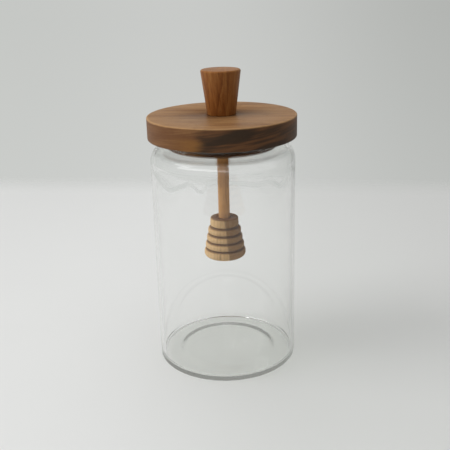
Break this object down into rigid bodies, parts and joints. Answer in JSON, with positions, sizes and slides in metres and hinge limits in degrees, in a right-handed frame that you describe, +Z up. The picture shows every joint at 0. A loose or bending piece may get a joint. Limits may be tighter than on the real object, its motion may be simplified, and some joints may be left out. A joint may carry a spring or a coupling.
{
  "type": "honey dispenser",
  "caption": "Glass honey jar with a thick turned wooden lid; a tapered knob on top and a beehive dipper on a rod hang from the lid, which lifts off and turns.",
  "frame": {"origin": "centre of the glass foot, on the surface that the jar stands on", "axes": "+Z up along the axis of the jar, the lid, the knob and the dipper; X and Y are free, as every piece is turned or blown round"},
  "size_m": [0.102, 0.102, 0.2072],
  "materials": {
    "clear_glass": "polished borosilicate, colourless",
    "acacia_wood": "oiled, satin",
    "knob_wood": "oiled, satin",
    "beech_wood": "sanded, unfinished",
    "clear_silicone": "translucent, matt"
  },
  "bodies": {
    "jar": {"jar": "clear_glass"},
    "seal": {"seal_ring": "clear_silicone"},
    "lid": {"lid": "acacia_wood", "knob": "knob_wood", "dipper_rod": "beech_wood", "dipper_head": "beech_wood"}
  },
  "joints": [
    {"name": "lid_lift", "type": "slide", "parent": "jar", "child": "seal", "axis": [0, 0, 1], "range_m": [0, 0.12]},
    {"name": "lid_turn", "type": "hinge", "parent": "seal", "child": "lid", "pos_m": [0, 0, 0.162], "axis": [0, 0, 1], "continuous": true}
  ]
}
